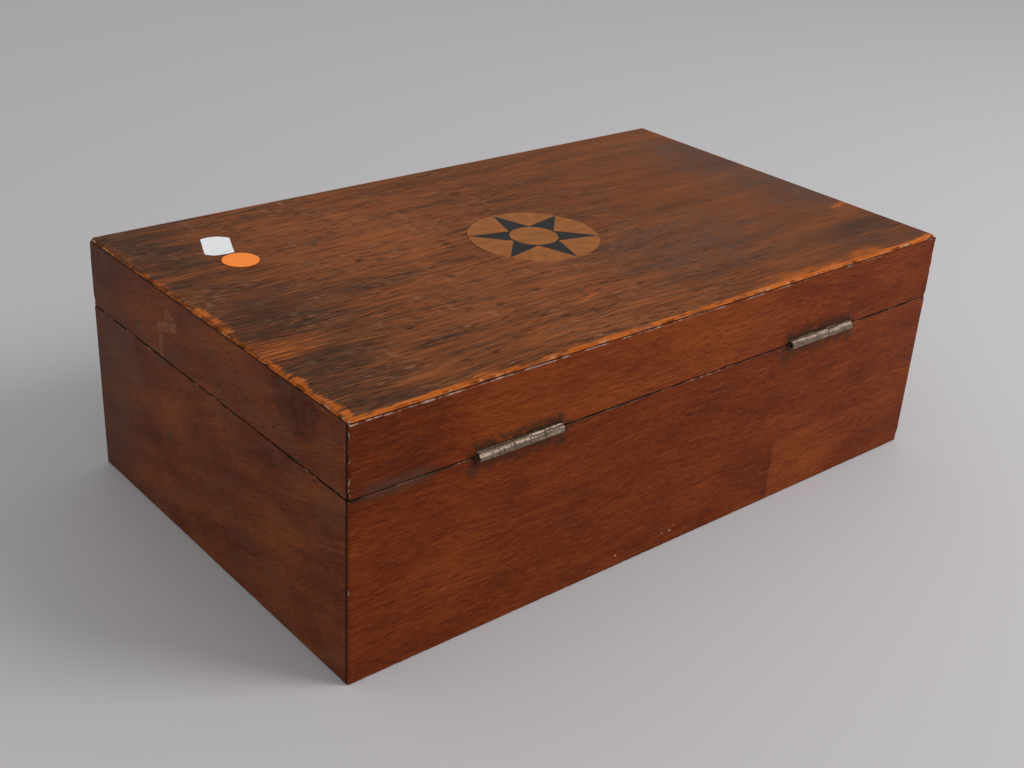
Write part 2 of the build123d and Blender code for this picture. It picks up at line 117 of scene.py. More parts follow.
class WoodColours(bpy.types.PropertyGroup):
    """Colours of the woods and of what is left of the polish."""

    polish: colour("Old polish", "Dark polish left where no hand has rubbed", (0.054, 0.023, 0.012))
    top_mid: colour("Top, middle", "Lid top where the polish has thinned", (0.160, 0.047, 0.014))
    top_warm: colour("Top, warm", "Lid top where the wood shows through", (0.270, 0.080, 0.023))
    bare: colour("Bare wood", "Edges rubbed down to the wood", (0.410, 0.096, 0.014))
    fibre: colour("Torn fibre", "Fresh chips in the veneer", (0.440, 0.270, 0.205))
    back_deep: colour("Back, deep", "Darkest grain of the long sides", (0.060, 0.010, 0.003))
    back_mid: colour("Back, middle", "Long sides", (0.143, 0.024, 0.004))
    back_warm: colour("Back, warm", "Long sides where they are rubbed", (0.240, 0.052, 0.008))
    end_deep: colour("End, deep", "Darkest grain of the short sides", (0.070, 0.014, 0.004))
    end_mid: colour("End, middle", "Short sides", (0.145, 0.033, 0.010))
    end_warm: colour("End, warm", "Short sides where they are rubbed", (0.235, 0.060, 0.014))
    carcass: colour("Carcass", "Inside faces of the boards", (0.360, 0.190, 0.085))
    satinwood: colour("Pale inlay", "Fields of the star", (0.270, 0.086, 0.013))
    ebony: colour("Dark inlay", "Points of the star", (0.012, 0.010, 0.011))


class Fittings(bpy.types.PropertyGroup):
    """Colours of the metal parts."""

    hinge: colour("Hinges", "Dull sheet of the hinges", (0.190, 0.130, 0.088))
    steel: colour("Steel", "Screws, pins and bolt", (0.220, 0.195, 0.170))
    brass: colour("Brass", "Lock plates and keyhole", (0.480, 0.300, 0.100))
    grime: colour("Grime", "Dirt round the metal", (0.020, 0.020, 0.014))


class Stickers(bpy.types.PropertyGroup):
    """The two blank stickers on the lid."""

    disc_radius: length("Dot radius", "Radius of the orange dot", 7.1)
    label_long: length("Label length", "Long side of the white label", 15.8)
    label_short: length("Label width", "Short side of the white label", 11.2)
    label_bow: length("Label bow", "How far its short ends bow out", 2.0)
    dot: colour("Dot", "Colour of the dot", (0.980, 0.240, 0.010))
    paper: colour("Paper", "Colour of the label", (0.820, 0.830, 0.850))


class Studio(bpy.types.PropertyGroup):
    """Camera, floor and light."""

    azimuth: bpy.props.FloatProperty(
        name="Azimuth", description="0 looks at the front", unit="ROTATION", default=radians(138.74)
    )
    elevation: bpy.props.FloatProperty(
        name="Elevation", description="Angle that the camera looks down", unit="ROTATION",
        default=radians(26.77),
    )
    roll: bpy.props.FloatProperty(
        name="Roll", description="Lean of the camera", unit="ROTATION", default=radians(3.55)
    )
    place: bpy.props.FloatVectorProperty(
        name="Place", description="Where the camera stands", subtype="TRANSLATION", size=3,
        default=(0.35624, 0.39832, 0.30163),
    )
    lens: bpy.props.FloatProperty(
        name="Lens", description="Focal length", unit="CAMERA", default=49.151
    )
    floor: colour("Floor", "Colour of the floor", (0.52, 0.505, 0.515))
    key_power: bpy.props.FloatProperty(name="Key light", description="Power of the soft light", default=12.0)
    sky: bpy.props.FloatProperty(name="Sky", description="Strength of the light all round", default=0.6)


# --- shader maths --------------------------------------------------------------------------------
class Value:
    """A socket of a finish.  Arithmetic on it adds the maths nodes."""

    def __init__(self, finish, socket):
        self.finish = finish
        self.socket = socket

    def maths(self, operation, *terms):
        return self.finish.node("ShaderNodeMath", {"operation": operation}, dict(enumerate(terms)))

    def __add__(self, other):
        return self.maths("ADD", self, other)

    def __sub__(self, other):
        return self.maths("SUBTRACT", self, other)

    def __rsub__(self, other):
        return self.maths("SUBTRACT", other, self)

    def __mul__(self, other):
        return self.maths("MULTIPLY", self, other)

    def __truediv__(self, other):
        return self.maths("DIVIDE", self, other)

    def __pow__(self, other):
        return self.maths("POWER", self, other)

    def __abs__(self):
        return self.maths("ABSOLUTE", self)

    __radd__ = __add__
    __rmul__ = __mul__

    def least(self, other):
        return self.maths("MINIMUM", self, other)

    def most(self, other):
        return self.maths("MAXIMUM", self, other)

    def rise(self, low, high):
        """0 below low and 1 above high, eased between.  With low above high it falls instead."""
        return self.finish.node(
            "ShaderNodeMapRange",
            {"interpolation_type": "SMOOTHSTEP"},
            {"Value": self, "From Min": low, "From Max": high},
        )

    def near(self, middle, reach, soft):
        """1 within reach of middle, and 0 beyond it by more than soft."""
        return abs(self - middle).rise(reach + soft, reach)


class Finish:
    """A material being made up from nodes."""

    def __init__(self, name):
        self.material = bpy.data.materials.new(name)
        self.material.use_nodes = True
        self.tree = self.material.node_tree
        self.tree.nodes.clear()

    def node(self, kind, settings=None, sockets=None, output=0):
        """Adds a node: first its settings, then the values or links of its sockets."""
        made = self.tree.nodes.new(kind)
        for name, value in (settings or {}).items():
            if name == "stops":
                set_stops(made.color_ramp, value)
            else:
                setattr(made, name, value)
        for name, value in (sockets or {}).items():
            if isinstance(value, Value):
                self.tree.links.new(value.socket, made.inputs[name])
            else:
                made.inputs[name].default_value = value
        return Value(self, made.outputs[output]) if made.outputs else None

    def place(self, turn=0.0):
        """Object coordinates in millimetres, as three values, turned about Z."""
        here = self.node("ShaderNodeTexCoord", output="Object")
        here = self.node(
            "ShaderNodeMapping",
            {},
            {"Vector": here, "Rotation": (0, 0, turn), "Scale": (1 / MM, 1 / MM, 1 / MM)},
        )
        return [self.node("ShaderNodeSeparateXYZ", {}, {0: here}, axis) for axis in "XYZ"]

    def noise(self, x, y, z, detail=2.0, roughness=0.5, distortion=0.0):
        """Smooth noise about 0.5, one step of it to each unit."""
        where = self.node("ShaderNodeCombineXYZ", {}, {0: x, 1: y, 2: z})
        sockets = {"Vector": where, "Scale": 1.0, "Detail": detail}
        sockets.update({"Roughness": roughness, "Distortion": distortion})
        return self.node("ShaderNodeTexNoise", {}, sockets)

    def mix(self, factor, first, second):
        """Blends two colours, each a value or three numbers."""
        first, second = [c if isinstance(c, Value) else (*c, 1.0) for c in (first, second)]
        return self.node("ShaderNodeMix", {"data_type": "RGBA"}, {0: factor, 6: first, 7: second}, 2)

    def ramp(self, factor, stops):
        return self.node("ShaderNodeValToRGB", {"stops": stops}, {"Fac": factor})

    def surface(self, base, roughness, height=None, depth=0.1, **fixed):
        """Ends the finish with its shader.  depth is what a height of 1 stands for, in millimetres."""
        sockets = {"Base Color": base, "Roughness": roughness, **fixed}
        if not isinstance(base, Value):
            sockets["Base Color"] = (*base, 1.0)
        if height is not None:
            bump = {"Height": height, "Distance": depth * MM, "Strength": 1.0}
            sockets["Normal"] = self.node("ShaderNodeBump", {}, bump)
        shader = self.node("ShaderNodeBsdfPrincipled", {}, sockets)
        self.node("ShaderNodeOutputMaterial", {}, {"Surface": shader})
        return self.material


def set_stops(ramp, stops):
    """Stops of a colour ramp, as (place, colour) pairs."""
    while len(ramp.elements) < len(stops):
        ramp.elements.new(0.5)
    for element, (place, tint) in zip(ramp.elements, stops):
        element.position = place
        element.color = (*tint, 1.0)


def shaded(tint, *shares):
    """A colour made darker or paler, by one share or by one for each channel."""
    shares = shares if len(shares) == 3 else shares * 3
    return tuple(min(c * share, 1.0) for c, share in zip(tint, shares))


def dress(node_names, material):
    """Gives CAD nodes a material."""
    for name in node_names:
        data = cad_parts[name].data
        data.materials.clear()
        data.materials.append(material)


def nodes_like(*words):
    """CAD nodes whose names hold all the words."""
    return [name for name in sorted(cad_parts) if all(word in name for word in words)]


# --- finishes: wood ------------------------------------------------------------------------------
def depth_below(f, x, y, z):
    """How far a point lies under the box's unbroken surface, in millimetres."""

    def over(value, half, rounding):
        return (value - (half - rounding)).most(0.0)

    def under(first, second, rounding):
        return rounding - (first * first + second * second) ** 0.5

    wide, deep = abs(x), abs(y)
    depth = under(over(wide, HALF_LENGTH, SIDE_ROUND), over(deep, HALF_DEPTH, SIDE_ROUND), SIDE_ROUND)
    for value, half in ((wide, HALF_LENGTH), (deep, HALF_DEPTH)):
        top = under(over(value, half, TOP_ROUND), over(z, HEIGHT, TOP_ROUND), TOP_ROUND)
        base = under(over(value, half, BASE_ROUND), (BASE_ROUND - z).most(0.0), BASE_ROUND)
        depth = depth.least(top).least(base)
    return depth


def torn_wood(f, x, y, z, wood):
    """Colour of a chip: rubbed brown on the lid top, pale fibre on the lip under it."""
    ragged = f.noise(x / 3.5, y / 3.5, z / 3.5, 3)
    bare, fibre = tuple(wood.bare), tuple(wood.fibre)
    dusty = (0.42, 0.20, 0.10)
    rubbed = f.ramp(ragged, [(0.34, shaded(bare, 0.3)), (0.5, shaded(bare, 0.75)), (0.66, dusty)])
    lip = f.ramp(ragged, [(0.36, shaded(bare, 0.35)), (0.5, shaded(fibre, 0.5)), (0.66, fibre)])
    sooty, old = (0.030, 0.010, 0.005), shaded(bare, 0.4)
    low = f.ramp(ragged, [(0.38, sooty), (0.50, old), (0.60, shaded(fibre, 0.85))])
    foot_chips = z.near(6.0, 1.5, 1.0) * x.near(12.0, 20.0, 4.0) * y.rise(0, 1)
    low = f.mix(foot_chips, low, fibre)
    on_top = z.rise(TOP_SEAM - 0.1, TOP_SEAM + 0.1)
    tint = f.mix(on_top, f.mix(z.rise(84, 96), low, lip), rubbed)
    corner = abs(x).rise(HALF_LENGTH - 17, HALF_LENGTH - 7) * abs(y).rise(HALF_DEPTH - 9, HALF_DEPTH - 6)
    corner = corner * z.rise(96, 98)
    return f.mix(corner * ragged.rise(0.44, 0.54), tint, fibre)


def polished_top(wood):
    """Lid top: grain along the box, old polish left in patches, edges rubbed to bare wood."""
    f = Finish("polished_top")
    x, y, z = f.place()
    polish, worn = tuple(wood.polish), tuple(wood.bare)

    # The grain runs along x and wanders a little across it.
    a = y + (f.noise(x / 130, y / 80, 0.0, 1) - 0.5) * 22
    a = a + f.noise(x / 35, y / 20, 0.7, 1) * x.near(0.0, 40, 50) * y.rise(20, 70) * 3.5
    figure = f.noise(x / 95, a / 9, 1.0, 3)
    streak = f.noise(x / 34, a / 1.6, 2.0, 2)
    line = f.noise(x / 15, a / 0.6, 3.0, 2)
    dash = f.noise(x / 6.5, a / 0.5, 4.0, 0)
    scratch = f.noise(x / 5.0, (a + x * 0.06) / 0.38, 14.0, 0)
    fray = (f.noise(x / 15, y / 1.1, 5.0, 2) - 0.5) * 26
    shift = (f.noise(x / 20, y / 9, 6.0, 2) - 0.5) * 24

    def patch(x_low, x_high, y_low, y_high, soft):
        """A patch with frayed ends along the grain."""
        along, across = x + fray, y + shift
        inside = along.rise(x_low - soft, x_low + soft) * along.rise(x_high + soft, x_high - soft)
        edge = soft * 0.6
        return inside * across.rise(y_low - edge, y_low + edge) * across.rise(y_high + edge, y_high - edge)

    # The wood, coarser towards the end that has been handled most.
    coarse = x.rise(-110, 30)
    tone = 0.5 + (figure - 0.5) * 0.55 + (streak - 0.5) * (0.45 + 0.5 * coarse)
    tone = tone + (line - 0.5) * (0.4 + 0.7 * coarse)
    tone = tone + patch(25, 105, -78, -5, 22).most(patch(-5, 75, 8, 90, 18)) * 0.12
    tone = tone - patch(120, 172, -110, 100, 22) * 0.06
    tint = f.ramp(tone, [(0.2, polish), (0.5, tuple(wood.top_mid)), (0.8, tuple(wood.top_warm))])

    # Old polish that is left in dark patches, and a painted grey sheen where the top catches a grazing
    # reflection.
    dark = patch(124, 172, -110, -42, 14) * 0.8
    dark = dark.most(patch(116, 172, 46, 100, 10) * 0.72).most(patch(98, 172, -18, 34, 24) * 0.5)
    dark = dark.most(patch(-172, -104, 56, 84, 22)).most(patch(-175, -132, -60, 36, 20) * 0.5)
    dark = dark * tone.rise(0.9, 0.4)
    tint = f.mix(dark, tint, polish)
    painted_sheen = patch(-175, -118, -70, 40, 24).most(patch(-95, -5, 14, 66, 26) * 0.8)
    brushed = f.noise((x + y) / 26, (y - x * 0.8) / 9, 12.0, 2).rise(0.36, 0.62)
    # The grey mixed in here is painted reflection, streaked by the brushed noise.
    tint = f.mix(painted_sheen * (0.25 + 0.35 * brushed), tint, (0.088, 0.052, 0.040))

    # Open pores and pale flecks.
    pore = dash.rise(0.43, 0.34) * (0.3 + 0.6 * coarse) * f.noise(x / 30, y / 9, 8.0, 1).rise(0.36, 0.60)
    tint = f.mix(pore, tint, (0.026, 0.010, 0.006))
    fleck = scratch.rise(0.62, 0.72) * (0.1 + 0.7 * coarse) * f.noise(x / 26, y / 12, 9.0, 1).rise(0.40, 0.66)
    tint = f.mix(fleck, tint, (0.300, 0.150, 0.085))

    # Edges rubbed to the bare wood, each to its own reach, with spots where the polish has held.
    fine = (f.noise(x / 8, y / 0.9, 11.0, 2) - 0.5) * 3.2
    end_reach = (f.noise(x / 60, y / 16, 21.0, 1) - 0.46) * 11 + fine * 1.7
    side_reach = (f.noise(x / 17, 5.0, 0.0, 2) - 0.52).most(0.0) * 14 + fine * 0.35
    at_right = (HALF_LENGTH - x - end_reach.most(-1.0)).rise(2.2, 1.2)
    at_left = (HALF_LENGTH + x - end_reach * 0.5).rise(1.5, 0.6)
    broken = f.noise(x / 13, y / 3.5, 19.0, 3).rise(0.44, 0.54).most(x.rise(85, 110)).most(x.rise(-25, -45))
    at_back = (HALF_DEPTH - y - side_reach).rise(2.3, 1.3) * (0.2 + 0.8 * broken)
    at_front = (HALF_DEPTH + y - side_reach * 0.5).rise(1.3, 0.5)
    tongue = patch(129, 175, 30, 40, 9) * line.rise(0.44, 0.60) * 0.8
    strip = patch(-112, -38, 84, 95, 5) * fine.rise(-0.8, 0.4) * 0.8
    spot = (patch(18, 26, 58, 60, 2) * 0.6).most(patch(-152, -140, 41, 45, 3) * 0.7)
    bare = at_right.most(at_left).most(at_back).most(at_front)
    rim = x.rise(HALF_LENGTH - 6, HALF_LENGTH - 4)
    kept = f.noise(x / 30, y / 8, 17.0, 2).rise(0.55, 0.47) * y.rise(40, 15) * rim
    kept = kept.most(y.rise(-50, -60) * rim)
    bare = bare * f.noise(x / 10, y / 3.0, 13.0, 2).rise(0.28, 0.40) * (1 - kept * 0.85)
    bare = bare.most(tongue).most(strip).most(spot)
    stops = [(0.30, shaded(worn, 0.4)), (0.48, worn), (0.72, (0.54, 0.165, 0.04))]
    tint = f.mix(bare, tint, f.ramp(line * 0.6 + streak * 0.4, stops))

    # Chips, and the crack over the sides.
    torn = depth_below(f, x, y, z).rise(*TORN_DEPTH)
    tint = f.mix(torn, tint, torn_wood(f, x, y, z, wood))
    crack = (z - TOP_SEAM).near(0.0, 0.10, 0.12)
    tint = f.mix(crack, tint, CRACK_AND_GAP_SHADE)
    gloss = 0.52 + (streak - 0.5) * 0.3 + bare * 0.12 - dark * 0.08
    height = line * 0.5 + streak * 0.4 - pore * 0.6 + fleck * 0.3
    return f.surface(tint, gloss, height, 0.13, **DULLEST)


def side_veneer(name, wood, along, tints):
    """Side veneer with its grain along one axis, chipped and rubbed at the edges."""
    f = Finish(name)
    x, y, z = f.place()
    long_side = along == "x"
    deep, mid, warm = [tuple(tint) for tint in tints]

    # g runs along the grain, a across it, and off into the wood.
    g, off = (x, y) if long_side else (y, x)
    a = z + (f.noise(g / 80, z / 50, off / 50, 1) - 0.5) * 12 + g * (0.0 if long_side else -0.28)
    figure = f.noise(g / 70, a / 8, off / 9, 3)
    streak = f.noise(g / 13, a / 1.2, off, 2)
    dash = f.noise(g / 3.8, a / 0.5, off / 0.7, 1)
    light = f.noise(g / 3.2, (a + g * 0.05) / 0.45, off / 0.7 + 9, 0)
    blotch = f.noise(g / 30, z / 20, off / 22, 2)
    lively = 0.8 if long_side else 1.4
    tone = 0.5 + (figure - 0.5) * 0.4 * lively + (streak - 0.5) * 0.45
    tone = tone + (blotch - 0.5) * 0.45 * lively + (dash - 0.5) * 0.3
    if long_side:
        dirty = (g + (blotch - 0.5) * 50).rise(92, 128) * z.rise(LID_RIM - 12, LID_RIM + 2)
        rubbed = g.near(25, 65, 30) * z.rise(LID_RIM - 1, LID_RIM + 1)
        tone = tone - dirty * 0.14 + rubbed * 0.13
        let_in = g.rise(-58.4, -59.2) * g.rise(-128, -70) * (z + (blotch - 0.5) * 16).rise(31, 25)
        joint = g.near(-57, 1.0, 2.5) * z.rise(33, 25)
        tone = tone + (let_in * 0.16 - joint * 0.08) * y.rise(0, 1)
    else:
        stain = ((g - 61) ** 2 + (z - 91) * (z - 91) * 2.2) ** 0.5 + (blotch - 0.5) * 14
        tone = tone - stain.rise(17, 12) * 0.2 * x.rise(0, 1)
    tint = f.ramp(tone, [(0.2, deep), (0.5, mid), (0.8, warm)])
    tint = f.mix(dash.rise(0.41, 0.30) * 0.45, tint, deep)
    tint = f.mix(light.rise(0.66, 0.78) * 0.2, tint, tuple(1.6 * c + 0.02 for c in warm))
    if long_side:
        tint = hinge_soil_and_shade(f, tint, x, y, z)
    else:
        tint = short_side_marks(f, tint, shaded(deep, 0.5), x, y, z, a)

    # Chips at the edges, and the rims' own faces painted near black as shade inside the gap between lid and
    # case.
    torn = depth_below(f, x, y, z).rise(*TORN_DEPTH)
    rim = (z - PARTING).near(0.0, (LID_RIM - CASE_RIM) / 2 + 0.002, 0.003)
    tint = f.mix(torn * (1 - rim), tint, torn_wood(f, x, y, z, wood))
    tint = f.mix(rim, tint, shaded(mid, 0.10))

    # Painted shade along the parting line between lid and case, rubbed corners, a dark foot, and the joints
    # between the veneers.
    uneven = f.noise(g / 9, off / 9, z / 30, 2)
    parting = (z - PARTING + 0.1 + (uneven - 0.5) * 0.9).near(0.0, 0.16, 0.28)
    tint = f.mix(parting * uneven.rise(0.36, 0.48) * 0.9, tint, CRACK_AND_GAP_SHADE)
    if long_side:
        smeared = g.near(131, 9, 8) * y.rise(0, 1) * (z - 72).near(0.0, 1.5, 3.0) * 0.6
        tint = f.mix(smeared, tint, (0.075, 0.035, 0.022))
    ragged = f.noise(x / 3, y / 3, z / 3, 2)
    corner = (abs(x) - (HALF_LENGTH - 1.6)).most(0.0) + (abs(y) - (HALF_DEPTH - 1.6)).most(0.0)
    corner = (corner + (ragged - 0.5) * 2.0).rise(2.2, 2.9)
    foot = (z - (ragged - 0.5) * 3.0).rise(0.9, 0.2)
    tint = f.mix(corner * 0.4, tint, shaded(wood.bare, 0.5))
    tint = f.mix(foot * 0.5, tint, shaded(mid, 0.5))
    seam = (abs(y) - SEAM_Y).near(0.0, 0.2, 0.3) * abs(x).rise(HALF_LENGTH - 1.6, HALF_LENGTH - 1.2)
    seam = seam.most((z - TOP_SEAM).near(0.0, 0.10, 0.12))
    tint = f.mix(seam * 0.95, tint, GLUE_LINE)
    return f.surface(tint, 0.48 + (streak - 0.5) * 0.25, dash * 0.6 + streak * 0.4, 0.09, **SATIN)


def hinge_soil_and_shade(f, tint, x, y, z):
    """Dirt and painted shade over, under and beside the two hinges on the back: the dark bands above and
    below each barrel stand in for the shade it casts.
    """
    for hinge_x in HINGES_AT:
        across = x - hinge_x
        around = f.noise(x / 4, z / 3, 2.0, 2)
        upper, lower = z + (around - 0.5) * 5, z + (around - 0.5) * 6
        over = across.near(0.0, HALF_BARREL, 4.0) * upper.near(LID_RIM + 2.2, 2.0, 2.4)
        under = across.near(0.0, HALF_BARREL, 3.0) * lower.near(CASE_RIM - 3.0, 1.6, 3.0)
        ends = abs(across).near(HALF_BARREL + 1.0, 2.0, 2.0) * lower.near(CASE_RIM - 2.0, 3.0, 4.0)
        soil = over.most(under * 0.6).most(ends * 0.8) * around.rise(0.30, 0.52) * y.rise(0, 1)
        # Dirt mixed with painted shade of the barrel, darkest just above and below it.
        tint = f.mix(soil * 0.72, tint, (0.022, 0.015, 0.009))
    return tint


def short_side_marks(f, tint, speck_tint, x, y, z, a):
    """Greyed polish, specks and the scrape of the short sides."""
    tint = f.mix(y.rise(-40, -80) * 0.45, tint, (0.062, 0.034, 0.020))
    cloud = f.noise(y / 22, z / 14, x / 9 + 5, 2, 0.5, 0.8).rise(0.53, 0.62) * 0.22
    tint = f.mix(cloud, tint, (0.135, 0.066, 0.042))
    speck = f.noise(y / 3.0, a / 2.2, x + 3, 1).rise(0.70, 0.76) * 0.6
    tint = f.mix(speck, tint, speck_tint)
    waver = (f.noise(y / 3, z / 3, 3.0, 2) - 0.5) * 5
    from_scrape = y + 27
    scrape = (from_scrape + waver).near(0.0, 6.5, 1.5)
    scrape = scrape * (z - 86 - from_scrape * 0.28 + waver * 0.4).near(0.0, 1.0, 1.4)
    upright = (y + 32.6 + waver * 0.2).near(0.0, 1.1, 0.8) * (z - 77).near(0.0, 4.0, 1.4)
    above = (y + 25 + waver).near(0.0, 2.5, 1.5) * (z - 91 + waver).near(0.0, 1.2, 1.2)
    scrape = scrape.most(upright * 0.7).most(above * 0.7)
    scrape = scrape * f.noise(y / 4, z / 0.8, 3.0, 2).rise(0.34, 0.58) * x.rise(0, 1)
    return f.mix(scrape * 0.6, tint, (0.300, 0.150, 0.075))


def bare_board(name, tint, along, seed):
    """Unpolished softwood with its grain along one axis."""
    f = Finish(name)
    place = dict(zip("xyz", f.place()))
    g = place[along]
    b, c = [place[axis] for axis in "xyz" if axis != along]
    ring = f.noise(g / 140 + seed, b / 3.4, c / 3.4, 4, 0.5, 0.2)
    fibre = f.noise(g / 22, b / 0.6, c / 0.6, 2)
    stain = f.noise(g / 60, b / 40, c / 40 + seed, 3)
    tone = (ring - 0.5) * 0.9 + (fibre - 0.5) * 0.6 + (stain - 0.5) * 0.6 + 0.5
    dark, pale = shaded(tint, 0.45, 0.38, 0.32), shaded(tint, 1.25, 1.2, 1.15)
    mixed = f.ramp(tone, [(0.15, dark), (0.5, tuple(tint)), (0.85, pale)])
    return f.surface(mixed, 0.72 - (ring - 0.5) * 0.2, fibre + ring * 0.5, 0.12)


def inlay_wood(name, tint, turn, contrast):
    """Thin inlay wood with fine straight grain, turned to its own direction."""
    f = Finish(name)
    x, y, z = f.place(turn)
    figure = f.noise(x / 12, y / 4.0, z / 3, 2)
    line = f.noise(x / 8, y / 0.45, z, 1)
    soil = f.noise(x / 5, y / 5, z + 7, 2).rise(0.60, 0.72)
    tone = (figure - 0.5) * 1.6 + (line - 0.5) * 0.9 + 0.5 - soil * 0.25
    dark, pale = shaded(tint, 1 - contrast), shaded(tint, 1 + contrast)
    mixed = f.ramp(tone, [(0.15, dark), (0.5, tuple(tint)), (0.85, pale)])
    return f.surface(mixed, 0.42 + (line - 0.5) * 0.15, line, 0.05, **DULL)


# --- finishes: metal and paper ---------------------------------------------------------------------
def dull_metal(name, tint, grime, rough, mottle=1.0):
    """Handled metal, dull and spotted, with dirt in the hollows."""
    f = Finish(name)
    x, y, z = f.place()
    cloud = f.noise(x / 4, y / 4, z / 4, 3)
    spot = f.noise(x / 0.9, y / 0.9, z / 0.9, 2)
    draw = f.noise(x / 3.5, y / 0.35, z / 0.35, 1)
    tone = ((cloud - 0.5) * 1.2 + (spot - 0.5) * 0.8) * mottle + 0.5
    mixed = f.ramp(tone, [(0.15, shaded(tint, 0.42)), (0.5, tuple(tint)), (0.8, shaded(tint, 1.3))])
    dirt = spot.rise(0.42, 0.33) * 0.7 * mottle
    mixed = f.mix(dirt, mixed, tuple(grime))
    gloss = rough + (cloud - 0.5) * 0.3 + dirt * 0.3
    return f.surface(mixed, gloss, draw + spot * 0.7, 0.05, Metallic=0.5)


def sticker_paper(name, tint):
    """Matt paper with a faint fibre and a little dirt."""
    f = Finish(name)
    x, y, z = f.place()
    fibre = f.noise(x / 0.5, y / 0.5, z, 2)
    soil = f.noise(x / 5, y / 5, z, 2).rise(0.45, 0.75) * 0.12
    mixed = f.mix(soil, tuple(tint), shaded(tint, 0.6))
    return f.surface(mixed, 0.62, fibre, 0.01)


# --- modelling helpers ---------------------------------------------------------------------------
def deselect():
    if bpy.context.object and bpy.context.object.mode != "OBJECT":
        bpy.ops.object.mode_set(mode="OBJECT")
    bpy.ops.object.select_all(action="DESELECT")


def pick(piece):
    """Makes a piece the only one that is selected, and the active one."""
    deselect()
    piece.select_set(True)
    bpy.context.view_layer.objects.active = piece


def named(name):
    """Names the piece that was just added."""
    piece = bpy.context.object
    piece.name = name
    piece.data.name = name
    return piece


def settle(piece):
    """Puts a piece's place into its mesh."""
    pick(piece)
    bpy.ops.object.transform_apply(location=True, rotation=True, scale=True)


def finish_piece(piece, material, body):
    piece.data.materials.clear()
    piece.data.materials.append(material)
    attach(piece, body)


# --- wear: bites that the years have taken out of the veneers and hinge leaves -------------------------
UP, ALONG = (0, 0, 1), (1, 0, 0)
# Chips on the upright corners: which corner, height, way out, then length, width and depth.
CORNER_CHIPS = (
    (-1, 1, 92.0, (-1, 1, 0), (9, 4.0, 0.5)),
    (-1, 1, 85.0, (-1, 1, 0), (2.5, 3.0, 0.6)),
    (-1, 1, 2.0, (-1, 1, -0.6), (8, 6.0, 0.7)),
    (1, 1, 86.0, (1, 1, 0), (1.8, 1.6, 0.55)),
    (1, 1, 79.0, (1, 1, 0), (1.8, 1.6, 0.55)),
    (1, 1, 73.5, (1, 1, 0), (1.8, 1.6, 0.55)),
    (1, 1, 4.5, (1, 1, 0), (10, 3.0, 0.5)),
    (1, -1, 73.6, (1, -1, 0.6), (4.0, 4.5, 0.85)),
    (-1, 1, 72.8, (-1, 1, 0.4), (3.0, 3.4, 0.7)),
)
# Pits in the back (x, z, size) and in the lid top (x, y, size).
BACK_PITS = (
    (28.0, 5.0, 1.6), (3.0, 6.0, 1.3), (-1.5, 5.6, 1.8), (-3.4, 7.4, 1.0), (-70, 15, 0.8), (120, 40, 0.8),
)
TOP_PITS = (
    (101, 42, 1.0), (-31.6, 74, 1.2), (60, 62, 0.8), (122, -12, 1.4), (-60, -30, 0.9), (20, -66, 0.8),
)
# Where along y the fine splits at the lid's end lie.
SPLITS_AT = (86.8, 85.2, 83.9, 33.5, 36.0, -12.0, 61.0, -58.0)
INLAY_EDGE = 27.35
# How far outside a piece's box a bite may lie and still be tried on it.
BITE_REACH = 3
# In metres.  It keeps the bites' corners off the planes of the wood.
ROUGHNESS = 0.00002
SHARP_FROM = radians(28)


def bite(at, out, along, length, width, depth, rounding=0.0):
    """A lens that sinks depth into the wood at a place, long along one direction.

    On an edge, at is where the unrounded edge would be.
    """
    out, along = Vector(out).normalized(), Vector(along).normalized()
    surface = Vector(at) - out * rounding * (sqrt(2) - 1)
    across = out.cross(along)
    return surface + out * 0.8 * depth, (along, across, out), (0.56 * length, 0.56 * width, 1.8 * depth)


def edge_bites(dice, start, end, out, rounding, count, length, width, depth):
    """Shallow dents and chips scattered along an edge."""
    start, end = Vector(start), Vector(end)
    return [
        bite(
            start.lerp(end, dice.random()), out, end - start,
            dice.uniform(*length), dice.uniform(*width), dice.uniform(*depth), rounding,
        )
        for _ in range(count)
    ]


def seam_bites(dice, start, end, out, step, width, depth, wander, skip):
    """An opened seam: thin bites end to end, with gaps where the glue has held."""
    start, end = Vector(start), Vector(end)
    steps = int((end - start).length / step)
    side = Vector(out).normalized().cross((end - start).normalized())
    found = []
    for i in range(steps):
        if dice.random() < skip:
            continue
        at = start.lerp(end, (i + dice.random()) / steps) + side * dice.uniform(-wander, wander)
        long = step * dice.uniform(1.1, 2.2)
        found.append(bite(at, out, end - start, long, dice.uniform(*width), dice.uniform(*depth)))
    return found


